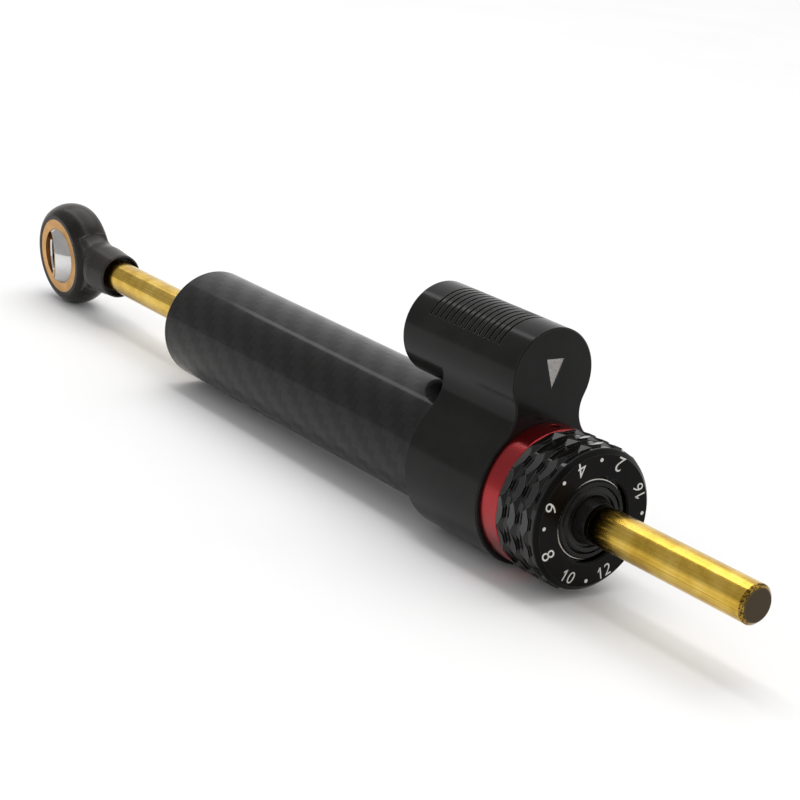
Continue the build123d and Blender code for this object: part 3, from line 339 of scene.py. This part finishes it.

# %% [markdown]
# ### The knob
# The knob is dyed deeper and polished. Its milled pads keep a hard gloss and thin bright edges, which are
# partly rubbed oxide and partly a painted highlight along the rims, and the turned face, which carries the
# dial, is duller, so a mask along X parts the two.

# %% Knob black
finish, tree, shader = start_finish("knob_black", (0.003, 0.0026, 0.0023), Metallic=0.0,
                                    Specular_IOR_Level=0.05, Coat_Roughness=0.06, Coat_IOR=1.5)
position = part_xyz(tree)
marks = use(tree, smudges, Size=0.008)
wear = use(tree, edge_wear, Width=0.00013, Patch_Size=0.0025)
rings = use(tree, turned_rings, Pitch=0.0001)
FACE_START_X, FACE_FULL_X = 0.0961, 0.0964
face = put(tree, "MapRange", {"Value": position["X"], "From Min": FACE_START_X, "From Max": FACE_FULL_X})
tone = ramp(tree, marks["Mask"], (0.0, (0.0022, 0.0019, 0.0017)), (1.0, (0.005, 0.0044, 0.004)))
# The pale edge colour is partly wear and partly a painted highlight along the pads' rims.
join(tree, blend_colours(tree, wear["Mask"], tone, (0.17, 0.165, 0.16)), shader, "Base Color")
side_gloss = spread_value(tree, marks["Mask"], 0.1, 0.22)
face_gloss = spread_value(tree, marks["Mask"], 0.26, 0.38)
gloss = put(tree, "Mix", {0: face.outputs[0], 2: side_gloss, 3: face_gloss}).outputs[0]
join(tree, gloss, shader, "Roughness")
join(tree, spread_value(tree, face.outputs[0], 0.6, 0.04), shader, "Coat Weight")
relief(tree, shader, rings["Height"], 0.0000004, 0.00012)
finishes["knob_black"] = finish
print("knob black, dull from x", FACE_START_X)

# %% [markdown]
# ### Gold rod
# The rod is ground steel with a thin hard gold coating. It shows a mottled tone, long dark lines that
# are partly seal marks and partly painted reflection lines, and dark oil that the wiper leaves next to
# the adjuster. The stain is painted on the rod, so it slides out with it, while a real wiper may drag some
# of it along.

# %% Gold coating
CHAMFER_LENGTH = 0.00085
TIP_FACE_DEPTH = 0.0001
OIL_START_X, WIPER_X, OIL_END_X = 0.094, 0.0985, 0.1075
CLEAN_LINE_X = 0.0999
finish, tree, shader = start_finish("gold_rod", (0.6, 0.37, 0.06), Metallic=1.0)
place = part_point(tree)
position = part_xyz(tree)
lines = use(tree, long_lines, Lines=26.0, Length=0.05)
fine_lines = use(tree, long_lines, Lines=34.0, Length=0.15)
marks = use(tree, smudges, Size=0.006)
wear = use(tree, edge_wear, Width=0.00035, Patch_Size=0.001)
mottled = sums(tree, "MULTIPLY", sums(tree, "ADD", lines["Height"], marks["Mask"]), 0.5)
gold = ramp(tree, mottled, (0.15, (0.5, 0.3, 0.036)), (0.45, (0.7, 0.45, 0.068)), (0.8, (0.85, 0.6, 0.14)))
# Long dark lines along the rod: partly seal marks, partly painted reflection lines.
seal_marks_and_painted_reflections = put(tree, "MapRange", {"Value": fine_lines["Height"], "From Min": 0.36, "From Max": 0.43,
                                 "To Min": 0.55, "To Max": 0.0})
gold = blend_colours(tree, seal_marks_and_painted_reflections.outputs[0], gold, (0.2, 0.11, 0.012))
rod_tip_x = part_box("piston_rod")[1].x
chamfer_mask = sums(tree, "GREATER_THAN", position["X"], rod_tip_x - CHAMFER_LENGTH)
chips = put(tree, "TexNoise", {"Vector": place, "Scale": 2600.0, "Detail": 3.0})
chipped = ramp(tree, chips.outputs[0], (0.42, (0.05, 0.035, 0.015)), (0.56, (0.42, 0.25, 0.035)))
gold = blend_colours(tree, chamfer_mask, gold, chipped)
face_mask = sums(tree, "GREATER_THAN", position["X"], rod_tip_x - TIP_FACE_DEPTH)
gold = blend_colours(tree, face_mask, gold, (0.055, 0.04, 0.025))
oil_reach = put(tree, "MapRange", {"Value": position["X"], "From Min": WIPER_X, "From Max": OIL_END_X,
                                   "To Min": 1.0, "To Max": 0.0})
oil_patches = put(tree, "TexNoise", {"Vector": place, "Scale": 2600.0, "Detail": 6.0, "Roughness": 0.8})
oil = put(tree, "MapRange", {"Value": sums(tree, "MULTIPLY", oil_reach.outputs[0], oil_patches.outputs[0]),
                             "From Min": 0.22, "From Max": 0.34})
oil_start = put(tree, "MapRange", {"Value": position["X"], "From Min": OIL_START_X, "From Max": WIPER_X})
oil_mask = sums(tree, "MULTIPLY", oil.outputs[0], oil_start.outputs[0])
oiled = blend_colours(tree, oil_mask, gold, (0.05, 0.032, 0.012))
from_line = sums(tree, "ABSOLUTE", sums(tree, "SUBTRACT", position["X"], CLEAN_LINE_X))
clean_line = put(tree, "MapRange", {"Value": from_line, "From Min": 0.00004, "From Max": 0.00012,
                                    "To Min": 1.0, "To Max": 0.0})
oiled = blend_colours(tree, clean_line.outputs[0], oiled, (0.5, 0.4, 0.17))
join(tree, blend_colours(tree, wear["Mask"], oiled, (0.42, 0.27, 0.07)), shader, "Base Color")
join(tree, spread_value(tree, mottled, 0.15, 0.27), shader, "Roughness")
relief(tree, shader, fine_lines["Height"], 0.000002, 0.0002)
finishes["gold_rod"] = finish
print("gold rod")

# %% [markdown]
# ### Oiled black steel, bronze and chrome at the rod end
# The eye is forged steel with a soft black oxide. Its liner is a warm sintered bronze, full of tiny
# pores, and the ball is polished chrome with light wear.

# %% Rod end finishes
finish, tree, shader = start_finish("black_steel", (0.02, 0.0185, 0.0175), Metallic=0.0,
                                    Specular_IOR_Level=0.16)
marks = use(tree, smudges, Size=0.008)
wear = use(tree, edge_wear, Width=0.0006, Patch_Size=0.003)
forged = put(tree, "TexNoise", {"Vector": part_point(tree), "Scale": 900.0, "Detail": 5.0})
tone = ramp(tree, marks["Mask"], (0.0, (0.0135, 0.0115, 0.0103)), (1.0, (0.027, 0.0235, 0.0215)))
join(tree, blend_colours(tree, wear["Mask"], tone, (0.08, 0.077, 0.074)), shader, "Base Color")
join(tree, spread_value(tree, marks["Mask"], 0.2, 0.34), shader, "Roughness")
relief(tree, shader, forged.outputs[0], 0.00001, 0.0004)
finishes["black_steel"] = finish


def bare_metal(name, colour, darker, low_gloss, high_gloss, grain_scale, grain_depth):
    """An uncoated metal with mottled tone and fine grain."""
    finish, tree, shader = start_finish(name, colour, Metallic=1.0)
    marks = use(tree, smudges, Size=0.005)
    wear = use(tree, edge_wear, Width=0.0002, Patch_Size=0.002)
    grain = put(tree, "TexNoise", {"Vector": part_point(tree), "Scale": grain_scale, "Detail": 4.0})
    tone = ramp(tree, marks["Mask"], (0.0, darker), (1.0, colour))
    bright = tuple(min(1.0, 1.15 * part + 0.03) for part in colour)
    join(tree, blend_colours(tree, wear["Mask"], tone, bright), shader, "Base Color")
    uneven = sums(tree, "MULTIPLY", sums(tree, "ADD", marks["Mask"], grain.outputs[0]), 0.5)
    join(tree, spread_value(tree, uneven, low_gloss, high_gloss), shader, "Roughness")
    relief(tree, shader, grain.outputs[0], grain_depth, 0.0001)
    return finish


for name, colour, darker, low_gloss, high_gloss, grain_scale, grain_depth in (
        ("liner_bronze", (0.72, 0.42, 0.16), (0.5, 0.27, 0.09), 0.3, 0.5, 2500.0, 0.00001),
        ("chromed_ball", (0.74, 0.73, 0.72), (0.62, 0.61, 0.6), 0.05, 0.16, 1800.0, 0.0000006),
        ("bright_steel", (0.62, 0.6, 0.57), (0.45, 0.43, 0.4), 0.18, 0.34, 3000.0, 0.000002),
        ("bare_alloy", (0.78, 0.78, 0.78), (0.66, 0.66, 0.66), 0.25, 0.4, 2000.0, 0.000003),
        ("bush_bronze", (0.7, 0.5, 0.24), (0.5, 0.34, 0.15), 0.25, 0.42, 2500.0, 0.000005)):
    finishes[name] = bare_metal(name, colour, darker, low_gloss, high_gloss, grain_scale, grain_depth)
print("rod end and bare metals")

# %% [markdown]
# ### Rubber and slide band
# Seals are matt black nitrile with a little bloom, and the piston's band is a brown filled plastic.

# %% Soft finishes
def moulded(name, colour, paler, low_gloss, high_gloss):
    """A moulded rubber or plastic with faint bloom."""
    finish, tree, shader = start_finish(name, colour, Metallic=0.0, Specular_IOR_Level=0.2)
    marks = use(tree, smudges, Size=0.004)
    grain = put(tree, "TexNoise", {"Vector": part_point(tree), "Scale": 4000.0, "Detail": 3.0})
    tone = ramp(tree, marks["Mask"], (0.0, colour), (1.0, paler))
    join(tree, tone, shader, "Base Color")
    join(tree, spread_value(tree, marks["Mask"], low_gloss, high_gloss), shader, "Roughness")
    relief(tree, shader, grain.outputs[0], 0.000008, 0.0001)
    return finish


finishes["seal_rubber"] = moulded("seal_rubber", (0.005, 0.0045, 0.004), (0.011, 0.01, 0.0095), 0.2, 0.4)
finishes["band_plastic"] = moulded("band_plastic", (0.12, 0.075, 0.04), (0.18, 0.12, 0.07), 0.4, 0.55)
print("rubber and band")

# %% [markdown]
# ## Give every CAD node its finish
# The record names the finish of each part, so one loop dresses them all.

# %% Dress the nodes
slot_of = {part["node"]: part["material_slot"] for part in frame["record"]["subparts"]}
for name, node in frame["nodes"].items():
    node.data.materials.clear()
    node.data.materials.append(finishes[slot_of[name]])
print("dressed", len(slot_of), "nodes")

# %% [markdown]
# ## The dial
# The knob's face carries plain numbers and dots in white, with the tops of the numbers towards the
# middle. They are thin raised prints: each number is set as text, leaned a little, turned into a mesh,
# and laid on the face at its own angle. Sixteen settings share the circle, and setting 3 is on top. A
# figure 1 gets a slanting flag. Each number is nudged round the circle to where the photograph shows
# it, apart from the 14, which is hidden there, so that its place is a guess.

# %% Print the dial
SETTINGS = 16
TOP_SETTING = 3
NUMBER_RADIUS = 11.95 * MM
DOT_RADIUS = 12.41 * MM
DOT_NUDGE = 0.9
NUMBER_HEIGHT = 2.95 * MM
PAIR_HEIGHT = 2.45 * MM
PAIR_RADIUS = 11.8 * MM
DOT_HALF_WIDTH = 0.4 * MM
DOTTED_SETTINGS = (3, 5, 7, 11, 13, 15)
PRINT_THICKNESS = 0.02 * MM
LEAN = 0.12
TEXT_DEPTH, TEXT_THINNING = 0.01, -0.006
FLAG_ROOT, FLAG_REACH, FLAG_TIP_TOP, FLAG_TIP_LOW, FLAG_ROOT_LOW = 0.06, 0.2, 0.24, 0.36, 0.16
NUDGES = {2: -0.3, 4: 1.5, 6: 4.0, 8: 6.3, 10: -0.5, 12: 0.4, 14: 1.0, 16: 2.4}
knob_face_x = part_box("adjuster_knob")[1].x


def dial_frame(setting, radius, nudge):
    """The place of a mark on the face: its x axis along the writing, y towards the middle, z outwards."""
    turn = math.radians((setting - TOP_SETTING) * 360 / SETTINGS + nudge)
    up = Vector((0, math.sin(turn), -math.cos(turn)))
    out = Vector((1, 0, 0))
    side = up.cross(out)
    axes = Matrix((side, up, out)).transposed().to_4x4()
    return Matrix.Translation(Vector((knob_face_x, 0, 0)) - up * radius) @ axes


def number_mesh(text):
    """A number as a flat mesh of the right height, centred, leaning and a little thick."""
    words = bpy.data.curves.new("number", "FONT")
    words.body = text
    words.align_x = "CENTER"
    words.extrude = TEXT_DEPTH
    words.offset = TEXT_THINNING
    holder = bpy.data.objects.new("number", words)
    bpy.context.scene.collection.objects.link(holder)
    bpy.context.view_layer.update()
    mesh = bpy.data.meshes.new_from_object(holder.evaluated_get(bpy.context.evaluated_depsgraph_get()))
    bpy.data.objects.remove(holder)
    xs, ys, zs = ([v.co[i] for v in mesh.vertices] for i in range(3))
    height = max(ys) - min(ys)
    if text.startswith("1"):
        flag = bmesh.new()
        flag.from_mesh(mesh)
        left, top = min(xs), max(ys)
        root_x, tip_x = left + FLAG_ROOT * height, left - FLAG_REACH * height
        outline = [(root_x, top), (left, top), (tip_x, top - FLAG_TIP_TOP * height),
                   (tip_x, top - FLAG_TIP_LOW * height), (root_x, top - FLAG_ROOT_LOW * height)]
        layers = [[flag.verts.new((x, y, z)) for x, y in outline] for z in (min(zs), max(zs))]
        flag.faces.new(layers[1][::-1])
        flag.faces.new(layers[0])
        for i in range(len(outline)):
            j = (i + 1) % len(outline)
            flag.faces.new((layers[0][j], layers[0][i], layers[1][i], layers[1][j]))
        bmesh.ops.recalc_face_normals(flag, faces=flag.faces)
        flag.to_mesh(mesh)
        flag.free()
        xs = [v.co[0] for v in mesh.vertices]
    middle = Vector(((max(xs) + min(xs)) / 2, (max(ys) + min(ys)) / 2, min(zs)))
    lean = Matrix.Identity(4)
    lean[0][1] = LEAN
    size = (PAIR_HEIGHT if len(text) > 1 else NUMBER_HEIGHT) / height
    flatten = Matrix.Diagonal((size, size, PRINT_THICKNESS / (max(zs) - min(zs)), 1))
    mesh.transform(flatten @ lean @ Matrix.Translation(-middle))
    return mesh


def add_piece(name, form, finish, body):
    """Link a bmesh as one piece of the object that rides on a body."""
    mesh = bpy.data.meshes.new(name)
    form.to_mesh(mesh)
    form.free()
    mesh.materials.append(finish)
    piece = bpy.data.objects.new(name, mesh)
    bpy.context.scene.collection.objects.link(piece)
    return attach(piece, body)


finish, tree, shader = start_finish("dial_white", (0.72, 0.71, 0.69), Metallic=0.0)
marks = use(tree, smudges, Size=0.001, Dust_Size=0.0002)
tone = ramp(tree, marks["Mask"], (0.0, (0.55, 0.54, 0.52)), (1.0, (0.76, 0.75, 0.73)))
join(tree, tone, shader, "Base Color")
join(tree, spread_value(tree, marks["Dust"], 0.45, 0.65), shader, "Roughness")
dial_white = finish

numbers = bmesh.new()
for setting in range(2, SETTINGS + 1, 2):
    mesh = number_mesh(str(setting))
    radius = PAIR_RADIUS if setting > 9 else NUMBER_RADIUS
    mesh.transform(dial_frame(setting, radius, NUDGES[setting]))
    numbers.from_mesh(mesh)
add_piece("dial_numbers", numbers, dial_white, "adjuster")

dots = bmesh.new()
for setting in DOTTED_SETTINGS:
    where = dial_frame(setting, DOT_RADIUS, DOT_NUDGE) @ Matrix.Translation((0, 0, PRINT_THICKNESS / 2))
    bmesh.ops.create_cone(dots, cap_ends=True, segments=28, radius1=DOT_HALF_WIDTH,
                          radius2=DOT_HALF_WIDTH, depth=PRINT_THICKNESS, matrix=where)
add_piece("dial_dots", dots, dial_white, "adjuster")
print("dial printed at x", round(knob_face_x, 5))

# %% [markdown]
# ## The index over the dial
# The triangle is cut into the housing's face and shows bare, finely blasted alloy. A thin plate fills
# the bottom of the cut, with its own sparkle.

# %% Fill the index
INDEX_TOP = 27.5 * MM
INDEX_HEIGHT = 6.2 * MM
INDEX_HALF = 2.23 * MM
INDEX_DEPTH = 0.2 * MM
INDEX_FILL = 0.08 * MM
FILL_MARGIN = 0.03 * MM
housing_face_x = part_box("detent_ring")[0].x

finish, tree, shader = start_finish("index_alloy", (0.34, 0.325, 0.31), Metallic=0.75)
sparkle = put(tree, "TexNoise", {"Vector": part_point(tree), "Scale": 5200.0, "Detail": 2.0})
marks = use(tree, smudges, Size=0.002)
tone = ramp(tree, sparkle.outputs[0], (0.3, (0.2, 0.19, 0.183)), (0.7, (0.42, 0.405, 0.39)))
join(tree, tone, shader, "Base Color")
join(tree, spread_value(tree, marks["Mask"], 0.38, 0.55), shader, "Roughness")
relief(tree, shader, sparkle.outputs[0], 0.00001, 0.00005)

plate = bmesh.new()
low_x = housing_face_x - INDEX_DEPTH
half, top_z = INDEX_HALF - FILL_MARGIN, INDEX_TOP - FILL_MARGIN
tip_z = INDEX_TOP - INDEX_HEIGHT + 2 * FILL_MARGIN
corners = ((-half, top_z), (half, top_z), (0, tip_z))
face = plate.faces.new([plate.verts.new((low_x, y, z)) for y, z in corners])
raised = bmesh.ops.extrude_face_region(plate, geom=[face])["geom"]
top = [v for v in raised if isinstance(v, bmesh.types.BMVert)]
bmesh.ops.translate(plate, vec=(INDEX_FILL, 0, 0), verts=top)
bmesh.ops.recalc_face_normals(plate, faces=plate.faces)
add_piece("index_fill", plate, finish, "damper_body")
print("index filled at x", round(housing_face_x, 5))

# %% [markdown]
# ## Floor and backdrop
# The part lies on a plain pale table. It rests on the housing's belly and on the eye, which is a
# little smaller, so the table leans to touch both. The floor runs far out to where it meets the white
# world.

# %% Floor
housing_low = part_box("front_housing")[0]
eye_low, eye_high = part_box("rod_end_housing")
eye_x = eye_low.x + (eye_high.z - eye_low.z) / 2
lean = math.atan2(eye_low.z - housing_low.z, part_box("carbon_sleeve")[1].x - eye_x)
FLOOR_SIZE = 12.0
FLOOR_GAP = 0.02 * MM
grid = bmesh.new()
bmesh.ops.create_grid(grid, x_segments=8, y_segments=8, size=FLOOR_SIZE / 2)
floor_mesh = bpy.data.meshes.new("floor")
grid.to_mesh(floor_mesh)
grid.free()
floor = bpy.data.objects.new("floor", floor_mesh)
bpy.context.scene.collection.objects.link(floor)
touch = Vector((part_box("carbon_sleeve")[1].x, 0, housing_low.z - FLOOR_GAP))
floor.matrix_world = Matrix.Translation(touch) @ Matrix.Rotation(lean, 4, "Y")
finish, tree, shader = start_finish("table", (0.86, 0.86, 0.86), Metallic=0.0, Specular_IOR_Level=0.2)
cloud = put(tree, "TexNoise", {"Vector": part_point(tree), "Scale": 14.0, "Detail": 4.0})
join(tree, ramp(tree, cloud.outputs[0], (0.3, 0.845), (0.7, 0.87)), shader, "Base Color")
join(tree, spread_value(tree, cloud.outputs[0], 0.55, 0.7), shader, "Roughness")
floor_mesh.materials.append(finish)
print("floor leans", round(math.degrees(lean), 3), "degrees")

# %% [markdown]
# ## Light
# The photograph's light is a white tent: a pale world all round, a broad soft lamp above and a little
# behind the part, so that its shadow falls towards the camera, and a long strip overhead, which draws
# the bright line along the rod. Camera and mirror rays see the white backdrop.

# %% World and lamps
scene = bpy.context.scene
world = bpy.data.worlds.new("studio")
scene.world = world
world.use_nodes = True
tree = world.node_tree
background = tree.nodes["Background"]
background.inputs["Color"].default_value = (1.0, 1.0, 1.0, 1.0)
rays = put(tree, "LightPath").outputs
seen = sums(tree, "ADD", rays["Is Camera Ray"], rays["Is Glossy Ray"], clamp=True)
seen = sums(tree, "ADD", seen, rays["Is Transmission Ray"], clamp=True)
WORLD_LEVEL = 0.72
LAMP_FROM = (-0.24, 0.26, 0.94)
STRIP_PLACE = (-0.3, -0.08, 0.85)
strength = put(tree, "MapRange", {"Value": seen, "To Min": WORLD_LEVEL, "To Max": 1.0})
tree.links.new(strength.outputs[0], background.inputs["Strength"])


def aim(lamp, place, target):
    """Put a lamp somewhere and turn it to face a point."""
    scene.collection.objects.link(lamp)
    lamp.location = place
    lamp.rotation_mode = "QUATERNION"
    lamp.rotation_quaternion = (Vector(target) - Vector(place)).to_track_quat("-Z", "Y")


broad = bpy.data.lights.new("broad_soft", "SUN")
broad.energy = 1.2
broad.angle = math.radians(60)
aim(bpy.data.objects.new("broad_soft", broad), LAMP_FROM, (0, 0, 0))

strip = bpy.data.lights.new("overhead_strip", "AREA")
strip.shape = "RECTANGLE"
strip.size = 1.8
strip.size_y = 0.12
strip.energy = 1.9
strip_object = bpy.data.objects.new("overhead_strip", strip)
scene.collection.objects.link(strip_object)
strip_object.location = STRIP_PLACE
print("world level", WORLD_LEVEL)

# %% [markdown]
# A photographer keeps dark cards round the set, because a black glossy part has no shape unless
# something dark lies next to something bright in its reflection. This one stands on the camera's side,
# leans over the part and is seen by mirror rays only. It is grey, at less than half of the backdrop.

# %% Dark card
CARD_HALF_LENGTH = 2.5
CARD_FOOT = (-1.0, -0.02)
CARD_TOP = (-0.14, 1.0)
CARD_LEVEL = 0.45
card = bmesh.new()
corners = []
for along, (y, z) in ((-1, CARD_FOOT), (1, CARD_FOOT), (1, CARD_TOP), (-1, CARD_TOP)):
    corners.append(card.verts.new((along * CARD_HALF_LENGTH, y, z)))
card.faces.new(corners)
card_mesh = bpy.data.meshes.new("dark_card")
card.to_mesh(card_mesh)
card.free()
dark_card = bpy.data.objects.new("dark_card", card_mesh)
scene.collection.objects.link(dark_card)
dark_card.visible_camera = False
dark_card.visible_diffuse = False
dark_card.visible_shadow = False
dark_card.visible_transmission = False
finish, tree, shader = start_finish("card_black", (0.0, 0.0, 0.0), Metallic=0.0, Roughness=1.0,
                                    Specular_IOR_Level=0.0)
shader.inputs["Emission Color"].default_value = (1.0, 1.0, 1.0, 1.0)
shader.inputs["Emission Strength"].default_value = CARD_LEVEL
card_mesh.materials.append(finish)
print("dark card from", CARD_FOOT, "to", CARD_TOP)

# %% [markdown]
# ## Camera
# The camera was fitted to the photograph's circles and edges: a long lens in front of the adjuster,
# looking back along the damper from the -Y side and a little above.

# %% Camera
SENSOR = 36.0
LENS = 97.05
CAMERA_PLACE = (383.94 * MM, -270.32 * MM, 134.45 * MM)
CAMERA_DEGREES = (73.5660934, -6.3649043, 54.340969)
camera = bpy.data.objects.new("camera", bpy.data.cameras.new("camera"))
scene.collection.objects.link(camera)
camera.location = CAMERA_PLACE
camera.rotation_euler = Euler([math.radians(turn) for turn in CAMERA_DEGREES], "XYZ")
camera.data.sensor_width = SENSOR
camera.data.lens = LENS
camera.data.clip_start = 0.01
camera.data.clip_end = 50.0
scene.camera = camera
scene.view_settings.view_transform = "Standard"
print("camera lens", LENS)
